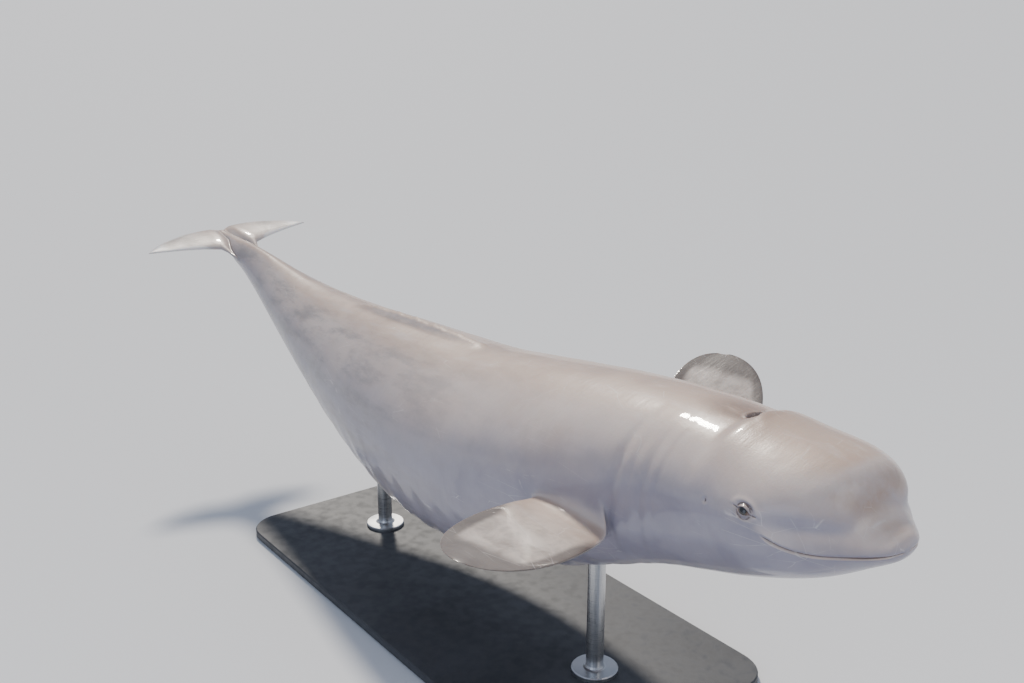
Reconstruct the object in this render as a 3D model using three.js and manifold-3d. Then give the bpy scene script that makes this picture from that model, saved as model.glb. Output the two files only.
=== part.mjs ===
// A beluga whale at life size, on a plain display stand. Millimetres, +Z up.
// The head points to +X and the whale's left side to +Y. The origin is the centre of the stand
// base's underside, on the floor. Lengths along the body are measured back from the snout's tip,
// and heights on the body from its level line, a horizontal line through the tail and the head.
import * as THREE from 'three';
import { mergeVertices } from 'three/addons/utils/BufferGeometryUtils.js';
import Module from 'manifold-3d';

const wasm = await Module();
wasm.setup();

// The whole animal
const BODY_LENGTH = 3850; // snout tip to the middle of the fluke's rear edge
const HALF_GAP = 0.15; // half of the gap that two neighbouring pieces keep
const GAP = 2 * HALF_GAP;

// The stand
const BASE = { length: 2000, width: 900, thickness: 30, corner: 120, chamfer: 4 };
const ROD = { radius: 28, flangeRadius: 75, flangeHeight: 14, chamfer: 3, fillet: 10, sides: 24 };
const ROD_SPREAD = 650; // from the middle of the base to each rod
const BELLY_CLEARANCE = 250; // from the base's top to the lowest point of the belly
const BELLY_DEPTH = 690; // from the level line down to the lowest point of the belly

// Where the body lies over the stand
const LEVEL_LINE = BASE.thickness + BELLY_CLEARANCE + BELLY_DEPTH;
const SNOUT_X = 1700;

// Where one named part of the body ends and the next begins, measured back from the snout
const HEAD_END = 510;
const NECK_END = 700;
const CHEST_END = 1330;
const TRUNK_END = 2080;
const LOIN_END = 2800;
const STOCK_END = 3640;

// The body's outline. Each row: distance back from the snout, height of the top, height of the
// bottom, greatest half width, height of that greatest width, and how square the section is
// above and below it (2 is an ellipse, more is squarer, less is keeled).
const OUTLINE = [
  [0, -75, -101, 18, -87, 2.2, 2.2],
  [8, -58, -112, 52, -85, 2.2, 2.2],
  [28, -45, -126, 84, -85, 2.3, 2.2],
  [56, -30, -143, 114, -86, 2.3, 2.2],
  [76, -10, -156, 134, -84, 2.2, 2.2],
  [90, 25, -165, 150, -80, 2.15, 2.2],
  [106, 54, -175, 167, -76, 2.15, 2.2],
  [132, 79, -190, 190, -70, 2.1, 2.2],
  [165, 92, -207, 213, -64, 2.05, 2.2],
  [215, 100, -230, 236, -62, 2.0, 2.15],
  [280, 104, -258, 250, -62, 1.95, 2.1],
  [345, 108, -284, 252, -66, 1.95, 2.1],
  [395, 115, -302, 250, -72, 1.95, 2.1],
  [428, 117, -312, 250, -78, 1.95, 2.1],
  [468, 102, -324, 250, -86, 2.0, 2.1],
  [510, 100, -337, 252, -94, 2.05, 2.1],
  [600, 101, -364, 257, -112, 2.1, 2.1],
  [690, 97, -396, 268, -136, 2.1, 2.1],
  [850, 86, -466, 296, -180, 2.05, 2.1],
  [1060, 63, -556, 325, -232, 2.0, 2.1],
  [1340, 24, -646, 345, -292, 2.0, 2.1],
  [1600, -10, -686, 345, -330, 1.95, 2.1],
  [1900, -26, -680, 326, -334, 1.95, 2.1],
  [2200, -38, -618, 288, -306, 1.95, 2.05],
  [2520, -50, -516, 233, -262, 1.9, 2.0],
  [2850, -46, -398, 172, -206, 1.85, 1.9],
  [3120, -22, -294, 120, -150, 1.75, 1.8],
  [3330, 6, -206, 83, -100, 1.7, 1.7],
  [3500, 20, -128, 62, -54, 1.7, 1.7],
  [3640, 22, -74, 56, -26, 1.8, 1.8],
];

// The mouth: a line that dips a little from the snout and turns up at the corner
const MOUTH = {
  front: -88, dip: 8, corner: 228, fade: 25, rise: 26,
  lip: 5, lipSpread: 13, groove: 6, grooveSpread: 4, narrow: 20,
};
// The fold between the melon and the upper lip
const MELON_FOLD = { height: -40, depth: 0.12, spread: 24, end: 250 };
// Lines that part the jaw and the melon from the head, as points back from the snout and up
const JAW_LINE = [[262, -128], [318, -215], [352, -330], [356, -420]];
const MELON_LINE = [[-20, -44], [60, -34], [150, -8], [260, 18], [360, 66], [418, 170]];

// Blowhole: a crescent across the top of the head, its horns to the front
const BLOWHOLE = { back: 466, span: 74, sag: 20, width: 17, depth: 26, sink: 2, hornSink: 6 };
// Eye, lids and ear dimple, on both sides of the head
const EYE = { back: 272, height: -24, radius: 21, sink: 14 };
const LID = {
  halfLength: 22, halfHeight: 14, thickness: 6, flatness: 0.8, tilt: 0.12,
  almond: 0.25, sink: 1.5, cornerSink: 2.5,
};
const EAR = { behindEye: 118, belowEye: 14, radius: 6, rise: 3 };

// Creases of the neck: distance back from the snout, depth and width of each
const NECK_CREASES = [
  { back: 690, depth: 9, spread: 20 },
  { back: 590, depth: 4, spread: 16 },
];
const CREASE_LEAN = 60; // how much further back a crease lies at the throat than at the nape

// The low ridge along the back, in place of a fin
const RIDGE = { start: 1640, end: 2480, height: 26, halfWidth: 26, sink: 30, under: 8, sides: 10 };

// Flippers: broad paddles with upturned tips. They are held out to the sides, the right one
// square to the body and a little forward, the left one swept back and raised.
const FLIPPER = {
  rootBack: 850, rootHeight: -245, inside: 90, length: 560, rootHalfChord: 112, halfChord: 152,
  widest: 0.5, rootThickness: 84, tipThickness: 14, curl: 34, curlStart: 0.35, edgeCurl: 18,
  tipSweep: 20, taper: 0.7, tipRound: 12,
};
// Sweep back from square to the body, raise over the level, and pitch of the front edge, degrees
const FLIPPER_POSE = {
  left: { side: 1, sweep: 33, raise: 19, pitch: 3.4 },
  right: { side: -1, sweep: -16, raise: 3, pitch: 5.7 },
};

// Flukes: rear edge convex on each side with a shallow notch between, tips swept back
const FLUKE = {
  rootBack: 3500, leadPower: 0.42, halfSpan: 392, tipBack: 3742, notch: 16, notchSpread: 22,
  trailBow: 22, trailPower: 3.2, rootThickness: 66, tipThickness: 9, taper: 0.55, tipRound: 14,
  height: -30, pitch: 0.18, tipLift: -4, roll: 4,
};

// What counts as a sliver, a short edge and a flat triangle when a cut solid is cleaned
const SLIVER = 0.06;
const SHORT_EDGE = 0.3;
const FLAT_TRIANGLE = 0.05;
const MERGE = 1e-3;

// Colours and finish of each kind of surface
const skin = (color) => new THREE.MeshStandardMaterial({ color, roughness: 0.42, metalness: 0 });
const SKIN_PALE = 0xd9cfc9;
const SKIN_MELON = 0xdccfc5;
const SKIN_JAW = 0xcfc8c6;
const SKIN_FIN = 0xc4bdb8;
const eyeMaterial = new THREE.MeshStandardMaterial({ color: 0x17120f, roughness: 0.12, metalness: 0 });
const baseMaterial = new THREE.MeshStandardMaterial({ color: 0x2e3033, roughness: 0.6, metalness: 0 });
const rodMaterial = new THREE.MeshStandardMaterial({ color: 0xa9abad, roughness: 0.35, metalness: 1 });

// Turns a three.js geometry into a solid that can be cut and joined, with its faces outwards
// whichever way round its rings were listed.
function solid(geometry) {
  const bare = geometry.clone();
  bare.deleteAttribute('normal');
  bare.deleteAttribute('uv');
  const merged = mergeVertices(bare, MERGE);
  const made = (triVerts) => new wasm.Manifold(new wasm.Mesh({
    numProp: 3,
    vertProperties: new Float32Array(merged.attributes.position.array),
    triVerts,
  }));
  const triangles = new Uint32Array(merged.index.array);
  const body = made(triangles);
  return body.volume() > 0 ? body : made(triangles.reverse());
}

// Which triangles share each edge, and which points are joined to each point.
function connections(triangles) {
  const sharing = new Map();
  const joined = new Map();
  const note = (map, key, make) => map.get(key) ?? map.set(key, make()).get(key);
  triangles.forEach((triangle, t) => {
    for (let k = 0; k < 3; k++) {
      const [a, b] = [triangle[k], triangle[(k + 1) % 3]];
      note(sharing, `${Math.min(a, b)} ${Math.max(a, b)}`, () => []).push(t);
      note(joined, a, () => new Set()).add(b);
      note(joined, b, () => new Set()).add(a);
    }
  });
  return { sharing, joined };
}

// Draws together the ends of one edge that is shorter than a limit, and says whether it found one.
function closedShortEdge(points, triangles, limit) {
  const { sharing, joined } = connections(triangles);
  for (const key of sharing.keys()) {
    const [a, b] = key.split(' ').map(Number);
    if (points[a].distanceTo(points[b]) >= limit) continue;
    if ([...joined.get(a)].filter((p) => joined.get(b).has(p)).length !== 2) continue;
    const kept = triangles
      .map((triangle) => triangle.map((p) => (p === b ? a : p)))
      .filter(([p, q, r]) => p !== q && q !== r && r !== p);
    triangles.splice(0, triangles.length, ...kept);
    return true;
  }
  return false;
}

// Turns the long edge of one triangle that is flatter than a limit, and says whether it found one.
function turnedFlatTriangle(points, triangles, limit) {
  const { sharing, joined } = connections(triangles);
  const flatness = (triangle) => {
    const [a, b, c] = triangle.map((p) => points[p]);
    const longest = Math.max(a.distanceTo(b), b.distanceTo(c), c.distanceTo(a));
    return (2 * new THREE.Triangle(a, b, c).getArea()) / longest;
  };
  for (const [t, triangle] of triangles.entries()) {
    if (flatness(triangle) >= limit) continue;
    const lengths = triangle.map((p, k) => points[p].distanceTo(points[triangle[(k + 1) % 3]]));
    const k = lengths.indexOf(Math.max(...lengths));
    const [a, b, c] = [triangle[k], triangle[(k + 1) % 3], triangle[(k + 2) % 3]];
    const other = sharing.get(`${Math.min(a, b)} ${Math.max(a, b)}`).find((index) => index !== t);
    const d = triangles[other].find((p) => p !== a && p !== b);
    const turned = [[c, a, d], [d, b, c]];
    if (joined.get(c).has(d) || Math.min(...turned.map(flatness)) < limit) continue;
    [triangles[t], triangles[other]] = turned;
    return true;
  }
  return false;
}

// Turns a solid back into a three.js geometry, keeping only its largest closed surface, without
// the slivers that a cut leaves.
function geometryOf(body) {
  const largest = body.decompose().reduce((a, b) => (b.volume() > a.volume() ? b : a));
  const mesh = largest.asOriginal().simplify(SLIVER).getMesh();
  const inThrees = (list) =>
    Array.from({ length: list.length / 3 }, (_, i) => [...list.slice(3 * i, 3 * i + 3)]);
  const points = inThrees(mesh.vertProperties).map((xyz) => new THREE.Vector3(...xyz));
  const triangles = inThrees(mesh.triVerts);
  while (closedShortEdge(points, triangles, SHORT_EDGE));
  while (turnedFlatTriangle(points, triangles, FLAT_TRIANGLE));
  const geometry = new THREE.BufferGeometry().setFromPoints(triangles.flat().map((p) => points[p]));
  const merged = mergeVertices(geometry, MERGE);
  merged.computeVertexNormals();
  return merged;
}

// A closed skin over rings of points, each ring listed the same way round, with flat ends.
function loft(rings) {
  const count = rings[0].length;
  const points = rings.flat();
  const faces = [];
  for (let r = 0; r + 1 < rings.length; r++) {
    for (let i = 0; i < count; i++) {
      const a = r * count + i;
      const b = r * count + ((i + 1) % count);
      faces.push(a, a + count, b, b, a + count, b + count);
    }
  }
  const ends = [[rings[0], 0, false], [rings.at(-1), (rings.length - 1) * count, true]];
  for (const [ring, first, turned] of ends) {
    const centre = points.length;
    points.push(ring.reduce((sum, p) => sum.add(p), new THREE.Vector3()).divideScalar(count));
    for (let i = 0; i < count; i++) {
      const a = first + i;
      const b = first + ((i + 1) % count);
      faces.push(centre, ...(turned ? [b, a] : [a, b]));
    }
  }
  const geometry = new THREE.BufferGeometry().setFromPoints(points);
  geometry.setIndex(faces);
  return geometry;
}

// A point of the animal, from its distance back from the snout, its side and its height.
const place = (back, side, height) => new THREE.Vector3(SNOUT_X - back, side, LEVEL_LINE + height);

// A smooth bump of height 1 at 0 that has faded out at about twice its spread.
const bump = (x, spread) => Math.exp(-((x / spread) ** 2));

const outlineCurve = new THREE.CubicInterpolant(
  new Float32Array(OUTLINE.map((row) => row[0])),
  new Float32Array(OUTLINE.flatMap((row) => row.slice(1))),
  OUTLINE[0].length - 1,
);

function outlineAt(back) {
  const [top, bottom, half, mid, above, below] = outlineCurve.evaluate(back);
  return { top, bottom, half, mid, above, below };
}

// Height of the mouth line. Behind its corner it runs on level, only to guide the rings.
function mouthHeight(back) {
  const along = THREE.MathUtils.clamp(back / MOUTH.corner, 0, 1);
  return MOUTH.front - MOUTH.dip * Math.sin(Math.PI * along) + MOUTH.rise * along ** 4;
}

// Half width of the body at one distance back from the snout and one height.
function halfWidth(back, height, grow = 0) {
  const o = outlineAt(back);
  const upper = height >= o.mid;
  const reach = (upper ? o.top - o.mid : o.mid - o.bottom) + grow;
  const power = upper ? o.above : o.below;
  const up = Math.min(1, Math.abs(height - o.mid) / reach);
  let half = (o.half + grow) * (1 - up ** power) ** (1 / power);
  if (back < MELON_FOLD.end) {
    const fade = Math.cos((Math.PI / 2) * (back / MELON_FOLD.end));
    half *= 1 - MELON_FOLD.depth * fade * bump(height - MELON_FOLD.height, MELON_FOLD.spread);
  }
  const toMouth = height - mouthHeight(back);
  const { corner, fade } = MOUTH;
  const open = 1 - THREE.MathUtils.smoothstep(back, corner - fade, corner + fade);
  half += open * MOUTH.lip * bump(toMouth, MOUTH.lipSpread) * Math.min(1, half / MOUTH.narrow);
  half -= open * MOUTH.groove * bump(toMouth, MOUTH.grooveSpread) * Math.min(1, half / MOUTH.narrow);
  for (const crease of NECK_CREASES) {
    const low = (o.top - height) / (o.top - o.bottom);
    const fromCrease = back - crease.back - CREASE_LEAN * low ** 2;
    half -= crease.depth * bump(fromCrease, crease.spread) * Math.sqrt(1 - up ** 2);
  }
  return Math.max(half, 0);
}

// Heights at which a ring of the head has its points: close together along the mouth, and closer
// still near the snout, where the section is lower than LIP_ROOM above or below the mouth.
const ABOVE_MOUTH = 9;
const BELOW_MOUTH = 7;
const LIP_STEPS = [20, 10, 5, 0, -5, -10, -20];
const LIP_ROOM = 60;
function ringHeights(back, grow) {
  const { top, bottom } = outlineAt(back);
  const line = mouthHeight(back);
  const shrink = Math.min(1, (line - bottom) / LIP_ROOM, (top - line) / LIP_ROOM);
  const lips = LIP_STEPS.map((step) => line + step * shrink);
  const high = top + grow;
  const low = bottom - grow;
  const spaced = (count, from, to, ease) =>
    Array.from({ length: count }, (_, i) => from + (to - from) * ease(i / count));
  const easeOut = (t) => 1 - Math.cos((Math.PI / 2) * t);
  const upper = spaced(ABOVE_MOUTH, high, lips[0], easeOut);
  const lower = spaced(BELOW_MOUTH, low, lips.at(-1), easeOut).reverse();
  return [...upper, ...lips, ...lower];
}

// A ring of points round the head, from the top down its left side and up its right side.
function headRing(back, grow = 0) {
  const heights = ringHeights(back, grow);
  const inner = heights.slice(1, -1);
  const left = inner.map((h) => place(back, halfWidth(back, h, grow), h));
  const right = inner.map((h) => place(back, -halfWidth(back, h, grow), h)).reverse();
  return [place(back, 0, heights[0]), ...left, place(back, 0, heights.at(-1)), ...right];
}

// A ring of points round the trunk or the tail, evenly turned about its widest height.
const BODY_SIDES = 32;
function bodyRing(back, grow = 0) {
  const o = outlineAt(back);
  return Array.from({ length: BODY_SIDES }, (_, i) => {
    const angle = (2 * Math.PI * i) / BODY_SIDES;
    const rise = Math.cos(angle);
    const upper = rise >= 0;
    const reach = (upper ? o.top - o.mid : o.mid - o.bottom) + grow;
    const power = 2 / (upper ? o.above : o.below);
    const height = o.mid + Math.sign(rise) * reach * Math.abs(rise) ** power;
    return place(back, Math.sign(Math.sin(angle)) * halfWidth(back, height, grow), height);
  });
}

// Stations from one distance back to another, both among them, evenly spaced by about a step.
function stations(from, to, step) {
  const count = Math.max(1, Math.round((to - from) / step));
  return Array.from({ length: count + 1 }, (_, i) => from + ((to - from) * i) / count);
}

// The named lengths of the body behind the head: where each starts and ends, and its step.
const SPANS = {
  neck: [HEAD_END, NECK_END, 19],
  chest: [NECK_END, CHEST_END, 44],
  trunk: [CHEST_END, TRUNK_END, 75],
  loin: [TRUNK_END, LOIN_END, 72],
  tail_stock: [LOIN_END, STOCK_END, 60],
};
const spanStations = ([from, to, step]) => stations(from + HALF_GAP, to - HALF_GAP, step);
const spanSolid = (span) => solid(loft(spanStations(span).map((back) => bodyRing(back))));

// The body behind the head in one piece, larger all round by the gap. What grows from the
// body is cut by it, and so meets the body face to face.
const bodyStations = Object.values(SPANS).flatMap((span) => spanStations(span).slice(1));
bodyStations.splice(-1, 1, STOCK_END + HALF_GAP);
const bodyWithGap = solid(loft([HEAD_END, ...bodyStations].map((back) => bodyRing(back, GAP))));

// The whole head, closed at the snout by a small flat that the lips cover.
const SNOUT_STATIONS = [0, 5, 10, 18, 28, 42, 56, 66, 76, 83, 90, 98, 106, 118, 132, 148, 165];
const HEAD_STEP = 25;
function wholeHead() {
  const behind = stations(SNOUT_STATIONS.at(-1) + HEAD_STEP, HEAD_END - HALF_GAP, HEAD_STEP);
  return solid(loft([...SNOUT_STATIONS, ...behind].map((back) => headRing(back))));
}

// A thin wall that follows a line seen from the side, right across the body.
const CUT_STEPS = 24;
function cutAlong(line, thickness) {
  const halfAcross = BASE.width / 2;
  const curve = new THREE.SplineCurve(line.map(([back, height]) => new THREE.Vector2(-back, height)));
  const points = curve.getPoints(CUT_STEPS);
  const side = (sign) => points.map((p, i) => {
    const t = curve.getTangent(i / (points.length - 1));
    return new THREE.Vector2(p.x - (sign * t.y * thickness) / 2, p.y + (sign * t.x * thickness) / 2);
  });
  const shape = new THREE.Shape([...side(1), ...side(-1).reverse()]);
  const wall = new THREE.ExtrudeGeometry(shape, { depth: 2 * halfAcross, bevelEnabled: false });
  wall.rotateX(Math.PI / 2);
  wall.translate(SNOUT_X, halfAcross, LEVEL_LINE);
  return solid(wall);
}

// A small tube bent along points, thickest in the middle and thin at its ends. Its section is an
// oval, as much deeper than wide as said.
const TUBE = { sides: 8, steps: 14, thinEnd: 0.12 };
function taperedTube(points, radius, deeper) {
  const curve = new THREE.CatmullRomCurve3(points);
  const frames = curve.computeFrenetFrames(TUBE.steps, false);
  const rings = [];
  for (let i = 0; i <= TUBE.steps; i++) {
    const t = i / TUBE.steps;
    const r = radius * (TUBE.thinEnd + (1 - TUBE.thinEnd) * Math.sqrt(Math.sin(Math.PI * t)));
    const centre = curve.getPointAt(t);
    rings.push(Array.from({ length: TUBE.sides }, (_, k) => {
      const angle = (2 * Math.PI * k) / TUBE.sides;
      return centre.clone()
        .addScaledVector(frames.normals[i], r * Math.cos(angle))
        .addScaledVector(frames.binormals[i], r * deeper * Math.sin(angle));
    }));
  }
  return solid(loft(rings));
}

// Where the head's side surface is, and which way it faces, at one distance and height.
const FACING_STEP = 6;
function onSide(back, height, side) {
  const at = (b, h) => place(b, side * halfWidth(b, h), h);
  const along = at(back + FACING_STEP, height).sub(at(back - FACING_STEP, height));
  const up = at(back, height + FACING_STEP).sub(at(back, height - FACING_STEP));
  const out = new THREE.Vector3().crossVectors(up, along).normalize();
  if (out.y * side < 0) out.negate();
  return { point: at(back, height), out, along: along.normalize(), up: up.normalize() };
}

function eyeCentre(side) {
  const { point, out } = onSide(EYE.back, EYE.height, side);
  return point.addScaledVector(out, -EYE.sink);
}

const EYE_SIDES = [18, 10];
const EAR_SIDES = [10, 6];
function ball(centre, radius, [around, down]) {
  const sphere = new THREE.SphereGeometry(radius, around, down);
  return solid(sphere.translate(centre.x, centre.y, centre.z));
}

// An almond ring of lid round the eye, half sunk in the head.
const LID_STEPS = 22;
const LID_SIDES = 8;
function lids(side) {
  const { point, out, along, up } = onSide(EYE.back, EYE.height, side);
  const rings = [];
  for (let i = 0; i < LID_STEPS; i++) {
    const a = (2 * Math.PI * i) / LID_STEPS;
    const [forward, upward] = [Math.cos(a), Math.sin(a)];
    const corner = Math.abs(forward);
    const rise = LID.halfHeight * upward * (1 - LID.almond * corner ** 3);
    const radial = along.clone().multiplyScalar(forward).addScaledVector(up, upward).normalize();
    const centre = point.clone()
      .addScaledVector(along, LID.halfLength * forward)
      .addScaledVector(up, rise + LID.tilt * LID.halfLength * forward)
      .addScaledVector(out, -LID.sink - LID.cornerSink * corner);
    rings.push(Array.from({ length: LID_SIDES }, (_, k) => {
      const b = (2 * Math.PI * k) / LID_SIDES;
      return centre.clone()
        .addScaledVector(radial, LID.thickness * Math.cos(b))
        .addScaledVector(out, LID.thickness * LID.flatness * Math.sin(b));
    }));
  }
  return solid(closedTube(rings));
}

// A skin over rings that join end to end, as round a hoop.
function closedTube(rings) {
  const count = rings[0].length;
  const faces = [];
  for (let r = 0; r < rings.length; r++) {
    const next = (r + 1) % rings.length;
    for (let i = 0; i < count; i++) {
      const j = (i + 1) % count;
      faces.push(r * count + i, next * count + i, r * count + j);
      faces.push(r * count + j, next * count + i, next * count + j);
    }
  }
  const geometry = new THREE.BufferGeometry().setFromPoints(rings.flat());
  geometry.setIndex(faces);
  return geometry;
}

function blowhole() {
  const { back, span, sag, width, depth, sink, hornSink } = BLOWHOLE;
  const { top } = outlineAt(back);
  const arc = [-1, -0.5, 0, 0.5, 1].map((t) =>
    place(back - sag * t * t, (span / 2) * t, top - sink - hornSink * t * t));
  return taperedTube(arc, width / 2, depth / width);
}

function earDimple(side) {
  const { point, out } = onSide(EYE.back + EAR.behindEye, EYE.height - EAR.belowEye, side);
  return ball(point.addScaledVector(out, EAR.rise), EAR.radius, EAR_SIDES);
}

// The head with its lids, sockets, blowhole and ear dimples, before it is parted
function featuredHead() {
  let head = wholeHead();
  for (const side of [1, -1]) {
    head = head.add(lids(side));
    head = head.subtract(ball(eyeCentre(side), EYE.radius + GAP, EYE_SIDES));
    head = head.subtract(earDimple(side));
  }
  return head.subtract(blowhole());
}

// Parts the head into melon, upper head and lower jaw by thin cuts.
const MOUTH_CUT = { start: -30, step: 26 };
function headParts() {
  const mouth = stations(MOUTH_CUT.start, MOUTH.corner, MOUTH_CUT.step)
    .map((back) => [back, mouthHeight(Math.max(back, 0))]);
  const jawCut = cutAlong([...mouth, ...JAW_LINE], GAP);
  const melonCut = cutAlong(MELON_LINE, GAP);
  const pieces = featuredHead().subtract(jawCut).subtract(melonCut).decompose();
  const middle = (piece) => {
    const box = piece.boundingBox();
    return (box.min[2] + box.max[2]) / 2;
  };
  const three = pieces.sort((a, b) => b.volume() - a.volume()).slice(0, 3);
  const [melon, head, jaw] = three.sort((a, b) => middle(b) - middle(a));
  return { melon, head, lower_jaw: jaw };
}

// A fin made of two faces over the same grid, which meet along its edge. middle(u, v) gives a
// point of its middle surface and which way that faces, and thickness(u, v) how thick it is
// there. u runs from the root to the tip and v from the front edge to the rear edge.
const FIN_GRID = { along: 14, across: 12 };
function fin(middle, thickness) {
  const { along, across } = FIN_GRID;
  const points = [];
  const top = [];
  const bottom = [];
  for (let i = 0; i <= along; i++) {
    top.push([]);
    bottom.push([]);
    for (let j = 0; j <= across; j++) {
      const u = Math.sin((Math.PI / 2) * (i / along));
      const v = (1 - Math.cos(Math.PI * (j / across))) / 2;
      const { point, normal } = middle(u, v);
      const edge = i === along || j === 0 || j === across;
      const half = edge ? 0 : thickness(u, v) / 2;
      top[i].push(points.push(point.clone().addScaledVector(normal, half)) - 1);
      bottom[i].push(edge ? top[i][j] : points.push(point.clone().addScaledVector(normal, -half)) - 1);
    }
  }
  const faces = [];
  for (let i = 0; i < along; i++) {
    for (let j = 0; j < across; j++) {
      const quad = (grid) => [grid[i][j], grid[i + 1][j], grid[i + 1][j + 1], grid[i][j + 1]];
      const [a, b, c, d] = quad(top);
      const [e, f, g, h] = quad(bottom);
      const corner = i === along - 1 && (j === 0 || j === across - 1);
      const flip = corner ? j > 0 : (i + j) % 2 === 0;
      faces.push(...(flip ? [a, b, c, a, c, d] : [a, b, d, b, c, d]));
      faces.push(...(flip ? [e, g, f, e, h, g] : [e, h, f, f, h, g]));
    }
  }
  for (let j = 0; j < across; j++) {
    const [a, b, c, d] = [top[0][j], top[0][j + 1], bottom[0][j + 1], bottom[0][j]];
    faces.push(a, b, c, a, c, d);
  }
  const geometry = new THREE.BufferGeometry().setFromPoints(points);
  geometry.setIndex(faces);
  return solid(geometry);
}

// How thick a fin is at one place: most at its root and a little behind its round front edge,
// thin along its rear edge, and rounded off at its tip.
function finThickness(u, v, { rootThickness, tipThickness, taper, tipRound }) {
  const along = rootThickness + (tipThickness - rootThickness) * u ** taper;
  const across = (4 * v * (1 - v)) ** 0.55 * (1.12 - 0.34 * v);
  return along * across * Math.sqrt(1 - u ** tipRound);
}

// Half the width of a flipper, from front edge to rear edge: it swells to its widest place and
// then rounds off to its tip, where a hundredth of it is left.
function flipperHalfChord(u) {
  const { rootHalfChord, halfChord, widest } = FLIPPER;
  if (u < widest) {
    return rootHalfChord + (halfChord - rootHalfChord) * Math.sin((Math.PI / 2) * (u / widest));
  }
  const past = (u - widest) / (1 - widest);
  return halfChord * (1 - 0.99 * past ** 2.6) ** (1 / 2.2);
}

// A flipper is placed by three directions: outwards from the body, to its own front edge, and
// the way its upper face looks.
function flipper({ side, sweep, raise, pitch }) {
  const f = FLIPPER;
  const [swept, raised, pitched] = [sweep, raise, pitch].map(THREE.MathUtils.degToRad);
  const out = new THREE.Vector3(-Math.sin(swept), side * Math.cos(swept), 0);
  const front = new THREE.Vector3(Math.cos(swept), side * Math.sin(swept), 0);
  out.multiplyScalar(Math.cos(raised)).setZ(Math.sin(raised));
  const face = new THREE.Vector3().crossVectors(front, out).normalize();
  if (face.z < 0) face.negate();
  front.applyAxisAngle(out, side * pitched);
  face.applyAxisAngle(out, side * pitched);
  const rootSide = halfWidth(f.rootBack, f.rootHeight) - f.inside;
  const root = place(f.rootBack, side * rootSide, f.rootHeight);
  const middle = (u, v) => {
    const tipCurl = f.curl * Math.max(0, (u - f.curlStart) / (1 - f.curlStart)) ** 2;
    const edgeCurl = f.edgeCurl * Math.sin(Math.PI * u) * (2 * v - 1) ** 4;
    const point = root.clone()
      .addScaledVector(out, u * f.length)
      .addScaledVector(front, flipperHalfChord(u) * (1 - 2 * v) - f.tipSweep * u * u)
      .addScaledVector(face, tipCurl + edgeCurl);
    return { point, normal: face };
  };
  return fin(middle, (u, v) => finThickness(u, v, f)).subtract(bodyWithGap);
}

// One half of the flukes, from the whale's middle plane to its tip
function fluke(side) {
  const f = FLUKE;
  const sideways = Math.sin(THREE.MathUtils.degToRad(f.roll));
  const middle = (u, v) => {
    const across = HALF_GAP + u * (f.halfSpan - HALF_GAP);
    const lead = f.rootBack + (f.tipBack - f.rootBack) * u ** f.leadPower;
    const bow = f.trailBow * Math.sin(Math.PI * u ** 0.8);
    const notch = f.notch * bump(across, f.notchSpread);
    const trail = BODY_LENGTH - notch + bow - (BODY_LENGTH - f.tipBack) * u ** f.trailPower;
    const back = lead + (trail - lead) * v;
    const height = f.height + (back - f.rootBack) * f.pitch + f.tipLift * u * u;
    const point = place(back, side * across, height + side * across * sideways);
    return { point, normal: new THREE.Vector3(0, 0, 1) };
  };
  return fin(middle, (u, v) => finThickness(u, v, f)).subtract(bodyWithGap);
}

// The ridge rises and falls gently along the back. Its foot is sunk in the body and cut there.
const RIDGE_STEP = 42;
function dorsalRidge() {
  const backs = stations(RIDGE.start, RIDGE.end, RIDGE_STEP);
  const rings = backs.map((back, i) => {
    const rise = Math.sin((Math.PI * i) / (backs.length - 1)) ** 0.45;
    const foot = outlineAt(back).top - RIDGE.sink;
    const full = RIDGE.sink + RIDGE.height * rise;
    const half = RIDGE.halfWidth * (0.35 + 0.65 * rise);
    return Array.from({ length: RIDGE.sides }, (_, k) => {
      const a = (2 * Math.PI * k) / RIDGE.sides;
      const upward = Math.cos(a);
      const height = upward < 0 ? foot - RIDGE.under : foot + full * upward ** 0.8;
      return place(back, half * Math.sin(a), height);
    });
  });
  return solid(loft(rings)).subtract(bodyWithGap);
}

function baseGeometry() {
  const { length, width, thickness, corner, chamfer } = BASE;
  const [x, y] = [length / 2 - chamfer, width / 2 - chamfer];
  const shape = new THREE.Shape();
  shape.moveTo(-x + corner, -y);
  shape.lineTo(x - corner, -y);
  shape.absarc(x - corner, -y + corner, corner, -Math.PI / 2, 0);
  shape.lineTo(x, y - corner);
  shape.absarc(x - corner, y - corner, corner, 0, Math.PI / 2);
  shape.lineTo(-x + corner, y);
  shape.absarc(-x + corner, y - corner, corner, Math.PI / 2, Math.PI);
  shape.lineTo(-x, -y + corner);
  shape.absarc(-x + corner, -y + corner, corner, Math.PI, 1.5 * Math.PI);
  const plate = new THREE.ExtrudeGeometry(shape, {
    depth: thickness - 2 * chamfer,
    bevelThickness: chamfer,
    bevelSize: chamfer,
    bevelSegments: 1,
    curveSegments: 5,
  });
  return plate.translate(0, 0, chamfer);
}

// A rod with a round foot, standing on the base and cut off where it meets the belly.
function rod(x) {
  const { radius, flangeRadius, flangeHeight, chamfer, fillet, sides } = ROD;
  const reach = LEVEL_LINE - BELLY_DEPTH / 2;
  const profile = [
    [0, 0],
    [flangeRadius, 0],
    [flangeRadius, flangeHeight - chamfer],
    [flangeRadius - chamfer, flangeHeight],
    [radius + fillet, flangeHeight],
    [radius + chamfer, flangeHeight + chamfer],
    [radius, flangeHeight + fillet],
    [radius, reach],
    [0, reach],
  ].map(([r, z]) => new THREE.Vector2(r, z));
  const turned = new THREE.LatheGeometry(profile, sides);
  turned.rotateX(Math.PI / 2).rotateZ(Math.PI / sides).translate(x, 0, BASE.thickness + GAP);
  return solid(turned).subtract(bodyWithGap);
}

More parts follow.
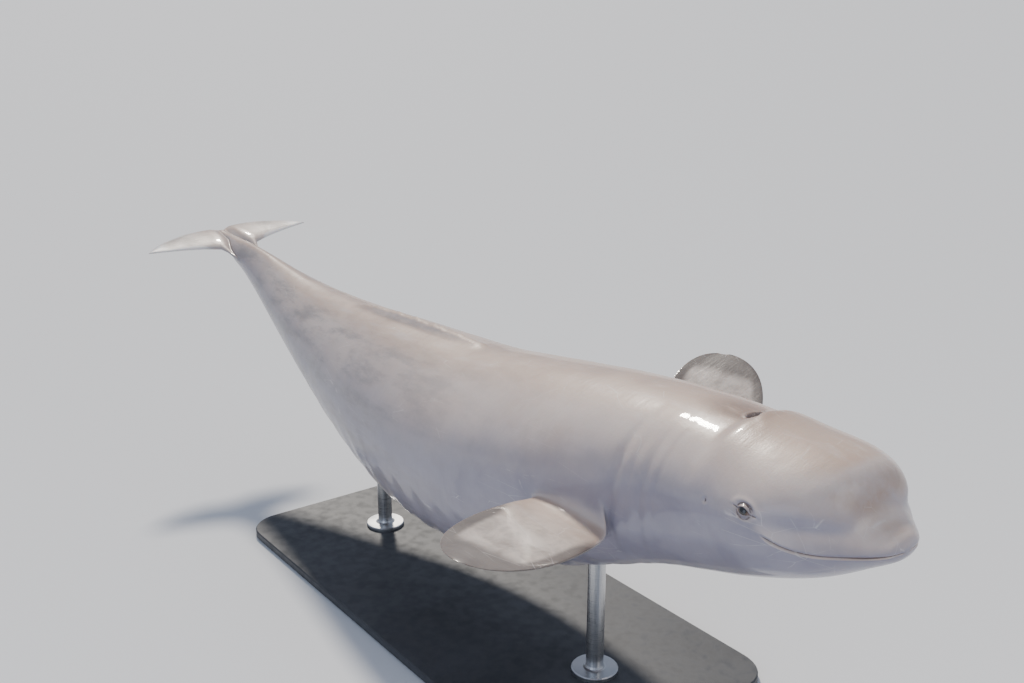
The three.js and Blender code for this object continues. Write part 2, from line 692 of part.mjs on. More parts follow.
const part = new THREE.Group();
function addNode(name, body, material) {
  const mesh = new THREE.Mesh(geometryOf(body), material);
  mesh.name = name;
  part.add(mesh);
}

const { melon, head, lower_jaw } = headParts();
addNode('melon', melon, skin(SKIN_MELON));
addNode('head', head, skin(SKIN_PALE));
addNode('lower_jaw', lower_jaw, skin(SKIN_JAW));
for (const [name, side] of [['eye_left', 1], ['eye_right', -1]]) {
  addNode(name, ball(eyeCentre(side), EYE.radius, EYE_SIDES), eyeMaterial);
}
for (const [name, span] of Object.entries(SPANS)) {
  addNode(name, spanSolid(span), skin(SKIN_PALE));
}
addNode('dorsal_ridge', dorsalRidge(), skin(SKIN_PALE));
for (const [name, pose] of Object.entries(FLIPPER_POSE)) {
  addNode(`flipper_${name}`, flipper(pose), skin(SKIN_FIN));
}
addNode('fluke_left', fluke(1), skin(SKIN_FIN));
addNode('fluke_right', fluke(-1), skin(SKIN_FIN));
addNode('stand_base', solid(baseGeometry()), baseMaterial);
addNode('stand_rod_front', rod(ROD_SPREAD), rodMaterial);
addNode('stand_rod_rear', rod(-ROD_SPREAD), rodMaterial);

export default part;
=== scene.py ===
# %% [markdown]
# A beluga whale as a still, life-size model on a plain stand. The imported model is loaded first
# and stays fixed: it gives every place and size. What is made here is the skin over its flesh,
# the eyes, and the finish of each surface. Lengths are in metres, +X is the snout, +Y the
# whale's left side, +Z is up.

# %% The fixed frame
from math import atan2, cos, exp, hypot, log, pi, radians, sin, sqrt

import bmesh
import bpy
from mathutils import Matrix, Vector, noise


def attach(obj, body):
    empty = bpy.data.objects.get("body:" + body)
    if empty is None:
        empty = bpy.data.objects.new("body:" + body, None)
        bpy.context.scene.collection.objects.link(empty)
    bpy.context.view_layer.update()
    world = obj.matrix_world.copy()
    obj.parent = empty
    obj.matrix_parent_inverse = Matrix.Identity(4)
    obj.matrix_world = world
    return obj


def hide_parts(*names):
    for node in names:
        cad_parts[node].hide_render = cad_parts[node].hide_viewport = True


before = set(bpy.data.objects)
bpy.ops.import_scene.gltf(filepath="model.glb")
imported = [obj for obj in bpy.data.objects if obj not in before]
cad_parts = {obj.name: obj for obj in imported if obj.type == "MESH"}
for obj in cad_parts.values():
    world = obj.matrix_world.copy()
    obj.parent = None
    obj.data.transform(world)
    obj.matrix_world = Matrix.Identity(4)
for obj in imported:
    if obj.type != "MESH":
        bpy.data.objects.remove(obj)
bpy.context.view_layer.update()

# %% [markdown]
# The camera comes first, because every later step is judged through it. It stands at the right
# front of the whale, a little above it, and looks down by 17 degrees. The floor is wide enough
# to fill the view. The main light is warm and comes over the tail from high up, as in the photo,
# where it makes the wet back shine and leaves the near side in soft shade. A sun lamp with a
# wide angle gives that, and lights the floor evenly. Two large, weak lamps fill the near side
# and the front, and the air round the scene does the rest.

# %% Camera, floor and light
CAMERA_PLACE = (3.0277, -2.0916, 2.079)
CAMERA_TURN = (radians(73.1), 0, radians(53.41))
FLOOR_SIZE = 4000
SUN_DIRECTION = (0.63, -0.29, -0.72)

bpy.ops.object.select_all(action="DESELECT")
bpy.ops.object.camera_add(location=CAMERA_PLACE, rotation=CAMERA_TURN)
camera = bpy.context.object
camera.data.lens = 40
camera.data.sensor_width = 36
camera.data.clip_end = 1.5 * FLOOR_SIZE
bpy.context.scene.camera = camera

bpy.ops.mesh.primitive_plane_add(size=FLOOR_SIZE, location=(0, 0, 0))
floor = bpy.context.object
floor.name = "studio_floor"


def soft_lamp(name, place, aim, size, watts, color):
    bpy.ops.object.light_add(type="AREA", location=place)
    lamp = bpy.context.object
    lamp.name = name
    lamp.data.shape = "DISK"
    lamp.data.size = size
    lamp.data.energy = watts
    lamp.data.color = color
    lamp.rotation_euler = (Vector(aim) - Vector(place)).to_track_quat("-Z", "Y").to_euler()


bpy.ops.object.light_add(type="SUN", location=(-6, 3, 7))
sun = bpy.context.object
sun.name = "lamp_over_tail"
sun.rotation_euler = Vector(SUN_DIRECTION).to_track_quat("-Z", "Y").to_euler()
sun.data.energy = 3.5
sun.data.angle = radians(6)
sun.data.color = (1.0, 0.93, 0.83)
soft_lamp("lamp_near", (2.2, -4.4, 2.4), (0.4, 0, 0.8), 3.6, 34, (0.70, 0.80, 1.0))
soft_lamp("lamp_front", (5.0, 1.2, 3.2), (1.2, 0, 0.9), 3.0, 30, (1.0, 0.95, 0.9))

world = bpy.data.worlds.new("studio_air")
world.use_nodes = True
air = world.node_tree.nodes["Background"]
air.inputs["Color"].default_value = (0.68, 0.78, 1.0, 1)
air.inputs["Strength"].default_value = 0.5
bpy.context.scene.world = world
print("camera", tuple(round(v, 2) for v in camera.location))

# %% [markdown]
# The whale's body is a long tube whose section changes all the way. Each row below is one
# station, in millimetres: how far it is behind the snout, the height of its top and bottom over
# a level line through head and tail, its greatest half width and the height of that, and how
# square it is above and below. A smooth curve through the rows gives the section anywhere.
# These are the same sizes as those of the solids, so the skin lies on them.

# %% The outline of the body
MM = 0.001
SNOUT_X = 1.7
LEVEL_LINE = 0.97
OUTLINE = [
    [0, -75, -101, 18, -87, 2.2, 2.2],
    [8, -58, -112, 52, -85, 2.2, 2.2],
    [28, -45, -126, 84, -85, 2.3, 2.2],
    [56, -30, -143, 114, -86, 2.3, 2.2],
    [76, -10, -156, 134, -84, 2.2, 2.2],
    [90, 25, -165, 150, -80, 2.15, 2.2],
    [106, 54, -175, 167, -76, 2.15, 2.2],
    [132, 79, -190, 190, -70, 2.1, 2.2],
    [165, 92, -207, 213, -64, 2.05, 2.2],
    [215, 100, -230, 236, -62, 2.0, 2.15],
    [280, 104, -258, 250, -62, 1.95, 2.1],
    [345, 108, -284, 252, -66, 1.95, 2.1],
    [395, 115, -302, 250, -72, 1.95, 2.1],
    [428, 117, -312, 250, -78, 1.95, 2.1],
    [468, 102, -324, 250, -86, 2.0, 2.1],
    [510, 100, -337, 252, -94, 2.05, 2.1],
    [600, 101, -364, 257, -112, 2.1, 2.1],
    [690, 97, -396, 268, -136, 2.1, 2.1],
    [850, 86, -466, 296, -180, 2.05, 2.1],
    [1060, 63, -556, 325, -232, 2.0, 2.1],
    [1340, 24, -646, 345, -292, 2.0, 2.1],
    [1600, -10, -686, 345, -330, 1.95, 2.1],
    [1900, -26, -680, 326, -334, 1.95, 2.1],
    [2200, -38, -618, 288, -306, 1.95, 2.05],
    [2520, -50, -516, 233, -262, 1.9, 2.0],
    [2850, -46, -398, 172, -206, 1.85, 1.9],
    [3120, -22, -294, 120, -150, 1.75, 1.8],
    [3330, 6, -206, 83, -100, 1.7, 1.7],
    [3500, 20, -128, 62, -54, 1.7, 1.7],
    [3640, 22, -74, 56, -26, 1.8, 1.8],
]
BODY_END = OUTLINE[-1][0]


def slope(rows, i, k):
    a, b = rows[max(i - 1, 0)], rows[min(i + 1, len(rows) - 1)]
    return (b[k] - a[k]) / (b[0] - a[0])


def section(back):
    back = min(max(back, OUTLINE[0][0]), OUTLINE[-1][0])
    i = next(n for n in range(len(OUTLINE) - 1) if back <= OUTLINE[n + 1][0])
    a, b = OUTLINE[i], OUTLINE[i + 1]
    span = b[0] - a[0]
    t = (back - a[0]) / span
    values = []
    for k in range(1, 7):
        m0, m1 = slope(OUTLINE, i, k) * span, slope(OUTLINE, i + 1, k) * span
        values.append((2 * t ** 3 - 3 * t ** 2 + 1) * a[k] + (t ** 3 - 2 * t ** 2 + t) * m0
                      + (3 * t ** 2 - 2 * t ** 3) * b[k] + (t ** 3 - t ** 2) * m1)
    return values


def blend(x, low, high):
    t = min(max((x - low) / (high - low), 0), 1)
    return t * t * (3 - 2 * t)


def bump(x, spread):
    return exp(-(x / spread) ** 2)


print("section at the eye", [round(v) for v in section(272)])

# %% [markdown]
# The head has three forms that a plain tube lacks. The mouth line dips a little from the snout
# and turns up at its corner, with a full lip on each side and a narrow groove between. The melon
# bulges over the upper lip, with a fold under it. The neck, which is free and bends in this
# species, has shallow creases. All of them narrow or widen the section at one height.

# %% Mouth, melon and neck
MOUTH_CORNER = 228
NECK_CREASES = [(690, 8, 17), (640, 2.5, 9), (590, 4, 13), (548, 2, 8)]


def mouth_height(back):
    along = min(max(back / MOUTH_CORNER, 0), 1)
    return -88 - 8 * sin(pi * along) + 26 * along ** 4


def half_width(back, height):
    top, bottom, half, mid, above, below = section(back)
    upper = height >= mid
    reach = top - mid if upper else mid - bottom
    power = above if upper else below
    up = min(1, abs(height - mid) / reach)
    wide = half * (1 - up ** power) ** (1 / power)
    if back < 250:
        wide *= 1 - 0.12 * cos(pi / 2 * back / 250) * bump(height + 40, 24)
    to_mouth = height - mouth_height(back)
    lips = (1 - blend(back, MOUTH_CORNER - 25, MOUTH_CORNER + 25)) * min(1, wide / 20)
    slit = (1 - blend(back, MOUTH_CORNER - 30, MOUTH_CORNER - 2)) * min(1, wide / 20)
    wide += lips * 5.4 * bump(to_mouth, 14)
    wide -= slit * 10.5 * bump(to_mouth, 3.4)
    low = (top - height) / (top - bottom)
    for place, depth, spread in NECK_CREASES:
        wide -= depth * bump(back - place - 60 * low ** 2, spread) * sqrt(1 - up ** 2)
    return max(wide, 0)


print("half width at the eye, mm", round(half_width(272, -24)))

# %% [markdown]
# The skin is modelled as a tube, as by hand: a circle of points at the snout is extruded ring by
# ring to the notch of the tail, and each ring is then set to its section. The rings are close
# together on the head and at the fins' roots, and wider apart on the plain trunk. Round each
# ring the points crowd at the mouth line in front and spread evenly behind, so that the lips
# are sharp without spending faces on the belly.

# %% A tube of rings from the snout to the tail
HALF_RING = 60
AROUND = 2 * HALF_RING
FLUKE_START = 3500
TAIL_END = 3834
FLUKE_LEVEL, FLUKE_TILT = -30, 0.18


def spaced(start, end, step):
    count = max(1, round((end - start) / step))
    return [start + (end - start) * n / count for n in range(count)]


RINGS = (spaced(0, 12, 2) + spaced(12, 240, 4) + spaced(240, 510, 5) + spaced(510, 710, 8)
         + spaced(710, 990, 11.7) + spaced(990, 3510, 24) + spaced(3510, TAIL_END, 12) + [TAIL_END])


def ring_heights(back):
    top, bottom, half, mid, above, below = section(back)
    even = []
    for n in range(HALF_RING + 1):
        rise = cos(pi * n / HALF_RING)
        power = 2 / (above if rise >= 0 else below)
        reach = top - mid if rise >= 0 else mid - bottom
        even.append(mid + (1 if rise >= 0 else -1) * reach * abs(rise) ** power)
    line = mouth_height(back)
    near = 13 * min(1, (line - bottom) / 60, (top - line) / 60)
    high, low = line + near, line - near
    over, lip = 30, 12
    under = HALF_RING - over - lip
    crowded = [top + (high - top) * (1 - cos(pi / 2 * n / over)) for n in range(over)]
    crowded += [high + (low - high) * n / lip for n in range(lip)]
    crowded += [low + (bottom - low) * sin(pi / 2 * n / under) for n in range(under + 1)]
    share = blend(back, 230, 560)
    return [a + (b - a) * share for a, b in zip(crowded, even)]


def fluke_level(back):
    return FLUKE_LEVEL + (back - FLUKE_START) * FLUKE_TILT


def tail_middle(back):
    # Behind the tail stock the tube narrows to the fluke's own thin middle.
    share = blend(back, FLUKE_START, TAIL_END)
    thin = 1 - 0.93 * blend(back, 3560, TAIL_END)
    return share, fluke_level(back), 33 * thin


def ring(back):
    points = []
    body_back = min(back, BODY_END)
    heights = ring_heights(body_back)
    for n in range(AROUND):
        side = 1 if n <= HALF_RING else -1
        index = n if n <= HALF_RING else AROUND - n
        height = heights[index]
        wide = half_width(body_back, height)
        if back > FLUKE_START:
            share, mid, thick = tail_middle(back)
            end_share = blend(back, 3560, 3700)
            angle = pi * index / HALF_RING
            height += (mid + thick * cos(angle) - height) * end_share
            wide += ((10 + 34 * (1 - share)) * sin(angle) - wide) * end_share
        points.append(Vector((SNOUT_X - back * MM, side * wide * MM, LEVEL_LINE + height * MM)))
    return points


bpy.ops.object.select_all(action="DESELECT")
bpy.ops.mesh.primitive_circle_add(vertices=AROUND, radius=0.02, fill_type="NOTHING",
                                  location=(SNOUT_X, 0, LEVEL_LINE), rotation=(0, pi / 2, 0))
skin = bpy.context.object
skin.name = "whale_skin"
bpy.ops.object.transform_apply(location=True, rotation=True, scale=True)
bpy.ops.object.mode_set(mode="EDIT")
bpy.ops.mesh.select_all(action="SELECT")
for before, after in zip(RINGS, RINGS[1:]):
    bpy.ops.mesh.extrude_region_move(TRANSFORM_OT_translate={"value": ((before - after) * MM, 0, 0)})
bpy.ops.object.mode_set(mode="OBJECT")

# Each point keeps the number of its ring and its place round the ring, for the fins below.
ring_mark = skin.data.attributes.new("ring", "INT", "POINT")
turn_mark = skin.data.attributes.new("turn", "INT", "POINT")
shapes = [ring(back) for back in RINGS]
for v in skin.data.vertices:
    back = (SNOUT_X - v.co.x) / MM
    r = min(range(len(RINGS)), key=lambda i: abs(RINGS[i] - back))
    n = round(atan2(v.co.y, v.co.z - LEVEL_LINE) / (2 * pi) * AROUND) % AROUND
    ring_mark.data[v.index].value = r
    turn_mark.data[v.index].value = n
    v.co = shapes[r][n]
print("rings", len(RINGS), "points", len(skin.data.vertices))

# %% [markdown]
# The two open ends are closed next. The snout's small opening is drawn in by two short
# extrusions and merged to a point, so that the lips stay round. The tail's end is a thin slot
# in the notch of the flukes, and one face fills it.

# %% Closing the snout and the tail
bpy.ops.object.mode_set(mode="EDIT")
bpy.ops.mesh.select_all(action="DESELECT")
mesh = bmesh.from_edit_mesh(skin.data)
ring_layer = mesh.verts.layers.int["ring"]
for v in mesh.verts:
    v.select = v[ring_layer] == 0
mesh.select_flush_mode()
bmesh.update_edit_mesh(skin.data)
for forward, smaller in ((0.0012, 0.72), (0.0006, 0.5)):
    bpy.ops.mesh.extrude_region_move(TRANSFORM_OT_translate={"value": (forward, 0, 0)})
    bpy.ops.transform.resize(value=(1, smaller, smaller))
bpy.ops.mesh.extrude_region_move()
bpy.ops.mesh.merge(type="CENTER")
mesh = bmesh.from_edit_mesh(skin.data)
ring_layer = mesh.verts.layers.int["ring"]
for v in mesh.verts:
    v.select = v[ring_layer] == len(RINGS) - 1
mesh.select_flush_mode()
bmesh.update_edit_mesh(skin.data)
bpy.ops.mesh.edge_face_add()
bpy.ops.mesh.select_all(action="SELECT")
bpy.ops.mesh.normals_make_consistent(inside=False)
bpy.ops.object.mode_set(mode="OBJECT")
print("faces of the closed tube", len(skin.data.polygons))

# %% [markdown]
# Flippers and flukes grow out of this tube: a patch of its faces is extruded again and again,
# and each step is set to the next section of the fin. The fin then needs no seam, since its
# skin and the body's are one. A fin is described by a middle surface and a thickness, where
# u runs from the root to the tip and v from the front edge to the rear edge. Each column of the
# patch starts where the middle surface leaves the body.

# %% Growing a fin out of the body
LEAST_THICKNESS = 2.2


def fullness(v):
    return (4 * v * (1 - v)) ** 0.55 * (1.12 - 0.34 * v)


def outside(point, clearance):
    back = (SNOUT_X - point.x) / MM
    height = (point.z - LEVEL_LINE) / MM
    if back <= FLUKE_START:
        top, bottom = section(back)[:2]
        inside_height = bottom < height < top
        return not inside_height or abs(point.y) / MM > half_width(back, height) + clearance
    return abs(point.y) / MM > max(abs(p.y) for p in ring(min(back, TAIL_END))) / MM + clearance


def leaving(middle, v, clearance):
    low, high = 0.0, 0.9
    for _ in range(14):
        half = (low + high) / 2
        if outside(middle(half, v)[0], clearance):
            high = half
        else:
            low = half
    return high


def grow_fin(side, first_ring, last_ring, first_turn, last_turn, middle, thickness, steps, clearance):
    columns = last_ring - first_ring
    rows = last_turn - first_turn
    share = [(1 - cos(pi * c / columns)) / 2 for c in range(columns + 1)]
    exits = [leaving(middle, min(max(v, 0.02), 0.98), clearance) for v in share]
    bpy.ops.object.mode_set(mode="EDIT")
    bpy.ops.mesh.select_mode(type="FACE")
    bpy.ops.mesh.select_all(action="DESELECT")
    mesh = bmesh.from_edit_mesh(skin.data)
    rings, turns = mesh.verts.layers.int["ring"], mesh.verts.layers.int["turn"]

    def row_of(v):
        turn = v[turns] if side > 0 else (AROUND - v[turns]) % AROUND
        return turn - first_turn

    for f in mesh.faces:
        ring_numbers = [v[rings] - first_ring for v in f.verts]
        row_numbers = [row_of(v) for v in f.verts]
        f.select = (len(f.verts) == 4 and min(ring_numbers) >= 0 and max(ring_numbers) <= columns
                    and min(row_numbers) >= 0 and max(row_numbers) <= rows)
    bmesh.update_edit_mesh(skin.data)
    for step in range(1, steps + 1):
        bpy.ops.mesh.extrude_region_move()
        mesh = bmesh.from_edit_mesh(skin.data)
        rings, turns = mesh.verts.layers.int["ring"], mesh.verts.layers.int["turn"]
        fin, rim = mesh.verts.layers.float["fin"], mesh.verts.layers.float["rim"]
        for vert in [v for v in mesh.verts if v.select]:
            column, row = vert[rings] - first_ring, row_of(vert)
            v = share[column]
            part = sin(pi / 2 * (step - 0.5) / (steps - 0.5))
            u = exits[column] + (1 - exits[column]) * part
            point, normal = middle(u, v)
            half = max(thickness(u, v) / 2, LEAST_THICKNESS * (1 - 0.6 * u)) * MM
            if step == steps:
                half *= 0.5
            vert.co = point + normal * half * (1 - 2 * row / rows)
            vert[fin] = min(1, 0.25 + part * 1.4)
            vert[rim] = max(blend(part, 0.6, 1), blend(abs(2 * v - 1), 0.62, 1) * blend(part, 0.1, 0.45))
        bmesh.update_edit_mesh(skin.data)
    bpy.ops.object.mode_set(mode="OBJECT")


for name in ("fin", "rim"):
    skin.data.attributes.new(name, "FLOAT", "POINT")


def ring_at(back):
    return min(range(len(RINGS)), key=lambda i: abs(RINGS[i] - back))


def turn_at(back, height):
    heights = ring_heights(back)
    return min(range(HALF_RING + 1), key=lambda i: abs(heights[i] - height))


print("marks on the points", [a.name for a in skin.data.attributes if not a.name.startswith(".")])

# %% [markdown]
# The beluga's flippers are broad and short, almost square paddles whose outer edges curl up in
# adults. In the photo the right one is held square to the body and low, and the left one is
# swept back and raised. Both come from the same sizes with another sweep, raise and pitch.

# %% The two flippers
FLIPPER_LENGTH = 560
FLIPPER_BACK, FLIPPER_HEIGHT, ROOT_DEPTH = 850, -245, 90
FLIPPER_HALF_ROOT = 122
# How far each flipper is swept back, raised and pitched, for the left (1) and the right (-1)
POSES = {1: (radians(33), radians(19), 0.06), -1: (radians(-16), radians(3), 0.1)}


def flipper_chord(u):
    if u < 0.5:
        return 112 + 40 * sin(pi * u)
    return 152 * (1 - 0.99 * ((u - 0.5) / 0.5) ** 2.6) ** (1 / 2.2)


def flipper_middle(side):
    sweep, lift, pitch = POSES[side]
    out = Vector((-sin(sweep) * cos(lift), side * cos(sweep) * cos(lift), sin(lift)))
    front = Vector((cos(sweep), side * sin(sweep), 0))
    face = front.cross(out).normalized()
    if face.z < 0:
        face.negate()
    turn = Matrix.Rotation(side * pitch, 3, out)
    front, face = turn @ front, turn @ face
    root_side = (half_width(FLIPPER_BACK, FLIPPER_HEIGHT) - ROOT_DEPTH) * side
    root = Vector((SNOUT_X - FLIPPER_BACK * MM, root_side * MM, LEVEL_LINE + FLIPPER_HEIGHT * MM))

    def middle(u, v):
        curl = 34 * max(0, (u - 0.35) / 0.65) ** 2 + 18 * sin(pi * u) * (2 * v - 1) ** 4
        forward = flipper_chord(u) * (1 - 2 * v) - 20 * u * u
        wave = 2.5 * sin(9 * u + 3 * v) * u
        return root + (out * u * FLIPPER_LENGTH + front * forward + face * (curl + wave)) * MM, face

    return middle


def flipper_thickness(u, v):
    return (84 - 70 * u ** 0.7) * fullness(v) * (1 - u ** 12) ** 0.5


root_turn = turn_at(FLIPPER_BACK, FLIPPER_HEIGHT)
root_front = ring_at(FLIPPER_BACK - FLIPPER_HALF_ROOT)
root_rear = ring_at(FLIPPER_BACK + FLIPPER_HALF_ROOT)
for side in (1, -1):
    grow_fin(side, root_front, root_rear, root_turn - 3, root_turn + 4, flipper_middle(side),
             flipper_thickness, 26, 10)
print("points with flippers", len(skin.data.vertices))

# %% [markdown]
# The flukes lie flat, unlike a fish's tail. Their front edges sweep back from the tail stock and
# their rear edges bulge on each side of a small notch. They grow from the sides of the tail
# stock, over its last third of a metre, and tilt a little to one side as in the photo.

# %% The two flukes
HALF_GAP = 0.15
FLUKE_SPAN = 392
ROLL = radians(4)


def fluke_middle(side):
    def middle(u, v):
        across = HALF_GAP + u * (FLUKE_SPAN - HALF_GAP)
        lead = FLUKE_START + 242 * u ** 0.42
        trail = 3850 - 16 * bump(across, 22) + 22 * sin(pi * u ** 0.8) - 108 * u ** 3.2
        back = lead + (trail - lead) * v
        height = fluke_level(back) - 4 * u * u + side * across * sin(ROLL)
        height += 2.0 * sin(14 * u + 2 * v) * u * v
        point = Vector((SNOUT_X - back * MM, side * across * MM, LEVEL_LINE + height * MM))
        return point, Vector((0, 0, 1))

    return middle


def fluke_thickness(u, v):
    return (66 - 57 * u ** 0.55) * fullness(v) * (1 - u ** 14) ** 0.5


for side in (1, -1):
    grow_fin(side, ring_at(3510), len(RINGS) - 1, HALF_RING // 2 - 3, HALF_RING // 2 + 3,
             fluke_middle(side), fluke_thickness, 24, 2)
print("points with flukes", len(skin.data.vertices))

# %% [markdown]
# Where a fin leaves the body there is a soft hollow, not a corner. The points near each root
# are relaxed, which rounds the joint as a thumb would in clay. The flat tips of the fins are
# relaxed a little too, so that their edges turn over softly.

# %% Softening the fins' roots and tips
bpy.ops.object.mode_set(mode="EDIT")
bpy.ops.mesh.select_mode(type="VERT")


def relax(chosen, factor, times):
    mesh = bmesh.from_edit_mesh(skin.data)
    fin, rim = mesh.verts.layers.float["fin"], mesh.verts.layers.float["rim"]
    for v in mesh.verts:
        v.select = chosen(v, fin, rim)
    mesh.select_flush_mode()
    bmesh.update_edit_mesh(skin.data)
    bpy.ops.mesh.vertices_smooth(factor=factor, repeat=times)


def beside_fin(v, fin, rim):
    back = (SNOUT_X - v.co.x) / MM
    if v[fin] == 0:
        return any(e.other_vert(v)[fin] > 0 for e in v.link_edges)
    return v[fin] < (0.42 if back < FLUKE_START else 0.36)


def at_tip(v, fin, rim):
    return v[fin] > 0.99 and v[rim] > 0.995


relax(beside_fin, 0.5, 5)
relax(at_tip, 0.4, 2)
bpy.ops.object.mode_set(mode="OBJECT")
print("faces with fins", len(skin.data.polygons))

# %% [markdown]
# The eyes, the blowhole and the ear dimples need much smaller faces than the rest. Only the
# faces round them are divided, and the new points are set back on the curved surface before
# anything is shaped there.

# %% Finer faces at eyes, ears and blowhole
EYE_BACK, EYE_HEIGHT, EYE_RADIUS, EYE_SINK = 272, -24, 21, 14
EAR_BACK, EAR_HEIGHT = 390, -38
HOLE_BACK = 466


def place(back, side, height):
    return Vector((SNOUT_X - back * MM, side * MM, LEVEL_LINE + height * MM))


def crown_height(back, side):
    top, bottom, half, mid, above, below = section(back)
    return mid + (top - mid) * (1 - min(1, abs(side) / half) ** above) ** (1 / above)


def divide(chosen, cuts):
    bpy.ops.object.mode_set(mode="EDIT")
    bpy.ops.mesh.select_mode(type="FACE")
    mesh = bmesh.from_edit_mesh(skin.data)
    for f in mesh.faces:
        centre = f.calc_center_median()
        f.select = chosen((SNOUT_X - centre.x) / MM, centre.y / MM, (centre.z - LEVEL_LINE) / MM)
    bmesh.update_edit_mesh(skin.data)
    bpy.ops.mesh.subdivide(number_cuts=cuts)
    mesh = bmesh.from_edit_mesh(skin.data)
    for v in mesh.verts:
        if not v.select:
            continue
        back, side, height = (SNOUT_X - v.co.x) / MM, v.co.y / MM, (v.co.z - LEVEL_LINE) / MM
        if abs(side) > 0.75 * section(back)[2]:
            v.co = place(back, (1 if side > 0 else -1) * half_width(back, height), height)
        else:
            v.co = place(back, side, crown_height(back, side))
    bmesh.update_edit_mesh(skin.data)
    bpy.ops.object.mode_set(mode="OBJECT")


divide(lambda back, side, height: hypot(back - EYE_BACK, height - EYE_HEIGHT) < 52, 2)
divide(lambda back, side, height: hypot(back - EYE_BACK, (height - EYE_HEIGHT) * 1.3) < 33, 1)
divide(lambda back, side, height: hypot(back - EAR_BACK, height - EAR_HEIGHT) < 14, 2)
divide(lambda back, side, height: abs(back - HOLE_BACK + 6) < 40 and abs(side) < 56 and height > 60, 2)
divide(lambda back, side, height: abs(back - HOLE_BACK + 8) < 24 and abs(side) < 44 and height > 60, 1)
print("faces with the finer places", len(skin.data.polygons))

# %% [markdown]
# Now the small forms are pushed in and out of the skin, as a thumb and a wire tool would do in
# clay. The eye comes first. It gets an almond opening, lids that wrap the ball, a soft crease
# over it, a fold under it and a short groove from each corner. Eyes and ears are set out on the
# skin by a point, the directions along and up, and the direction straight out.

# %% Lids
OPEN_HALF_LENGTH, OPEN_ABOVE, OPEN_BELOW = 17, 8.8, 7.4


def frame_on_side(back, height, side):
    def at(b, h):
        return place(b, side * half_width(b, h), h)
    along = (at(back + 6, height) - at(back - 6, height)).normalized()
    up = (at(back, height + 6) - at(back, height - 6)).normalized()
    out = up.cross(along).normalized()
    if out.y * side < 0:
        out.negate()
    return at(back, height), along, up, out


EYES = {side: frame_on_side(EYE_BACK, EYE_HEIGHT, side) for side in (1, -1)}
EARS = {side: frame_on_side(EAR_BACK, EAR_HEIGHT, side) for side in (1, -1)}


def lid_push(co, side):
    point, along, up, out = EYES[side]
    local = (co - point) / MM
    a, b = local.dot(along), local.dot(up)
    b -= 0.12 * a
    if hypot(a, b) > 70:
        return Vector()
    away = hypot(a, b)
    over_ball = sqrt(max(0, EYE_RADIUS ** 2 - away ** 2)) - EYE_SINK + 1.7
    lid = log(1 + exp(over_ball / 1.3)) * 1.3 * (1 - blend(away, 18, 25))
    along_open = a / OPEN_HALF_LENGTH
    half_open = (OPEN_ABOVE if b > 0 else OPEN_BELOW) * max(0.3, 1 - 0.35 * along_open ** 2)
    reach = hypot(along_open, b / half_open)
    edge = (reach - 1) * 8
    shape = lid - 12.5 * blend(1 - reach, -0.02, 0.22)
    rim = bump(edge - 1.6, 1.9) * (1 if reach > 1 else 0.4)
    shape += 0.9 * rim
    upper, lower = blend(b, -3, 5), blend(-b, -3, 5)
    oval = hypot(a * 0.72, b)
    shape -= 1.7 * upper * bump(oval - 18 + 0.08 * a, 3.2) * (1 - blend(abs(a), 14, 30))
    shape += 1.8 * upper * bump(oval - 25, 6.0)
    shape -= 1.0 * lower * bump(oval - 16 - 0.08 * a, 3.0) * (1 - blend(abs(a), 10, 26))
    shape += 1.0 * lower * bump(oval - 22, 5.0)
    tear_line = bump(b + 1 + 0.12 * (a + 15), 1.7) * blend(-a, 13, 17) * (1 - blend(-a, 26, 42))
    rear_line = bump(b - 0.1 * (a - 15), 1.7) * blend(a, 13, 17) * (1 - blend(a, 24, 38))
    shape -= 2.4 * tear_line + 2.0 * rear_line
    return out * shape * MM


print("eyes", [[round(c, 3) for c in EYES[side][0]] for side in (1, -1)])

# %% [markdown]
# The blowhole is a crescent slit with a raised lip behind it and a low swell in front. The low
# ridge on the back, which beluga whales have in place of a fin, is a little ragged. Broad, soft
# lumps of blubber lie along belly and flanks, and shallow rolls cross the belly.

# %% Blowhole, blubber and ridge
RIDGE_START, RIDGE_END, RIDGE_HEIGHT = 1640, 2480, 25


def blowhole_push(back, side):
    arc = HOLE_BACK - 20 * (side / 37) ** 2
    ahead = back - arc
    ends = 1 - blend(abs(side), 24, 38)
    width = 6.5 + 8.5 * ends
    drop = -27 * ends * exp(-(abs(ahead + 6) / width) ** 3)
    lip_behind = 3.5 * ends * bump(ahead - 19, 8)
    hump_ahead = 2.0 * (1 - blend(abs(side), 36, 70)) * bump(ahead + 38, 20)
    dish = -4.5 * bump(ahead - 8, 26) * bump(side, 42)
    pucker = 0.6 * sin(side * 0.75) * ends * bump(ahead - 14, 8)
    return drop + lip_behind + hump_ahead + dish + pucker


def blubber(co, back, height):
    along = noise.noise(Vector((co.x * 2.1, co.y * 3.3 + 7, co.z * 3.0)))
    small = noise.noise(Vector((co.x * 7.5, co.y * 8 + 3, co.z * 7.5)))
    low = blend(-height, 60, 420)
    body = blend(back, 520, 900) * (1 - blend(back, 2700, FLUKE_START))
    rolls = sin((back + 90 * sin(height * 0.009)) * 0.052) * blend(-height, 250, 520) * body
    return (3.6 * along * (0.35 + 0.65 * low) + 1.1 * small) * (0.25 + 0.75 * body) + 1.8 * rolls


def ridge_rise(back):
    if not RIDGE_START < back < RIDGE_END:
        return 0
    rise = sin(pi * (back - RIDGE_START) / (RIDGE_END - RIDGE_START)) ** 0.45
    return RIDGE_HEIGHT * rise * (1 + 0.10 * sin(back * 0.11) + 0.07 * sin(back * 0.31 + 1))


print("ridge at its middle, mm", round(ridge_rise((RIDGE_START + RIDGE_END) / 2), 1))

# %% [markdown]
# The ear is a pinhole in a dimple. Every point's push is worked out on the skin as it stands,
# and only then are all points moved, since moving one would turn the normals beside it.

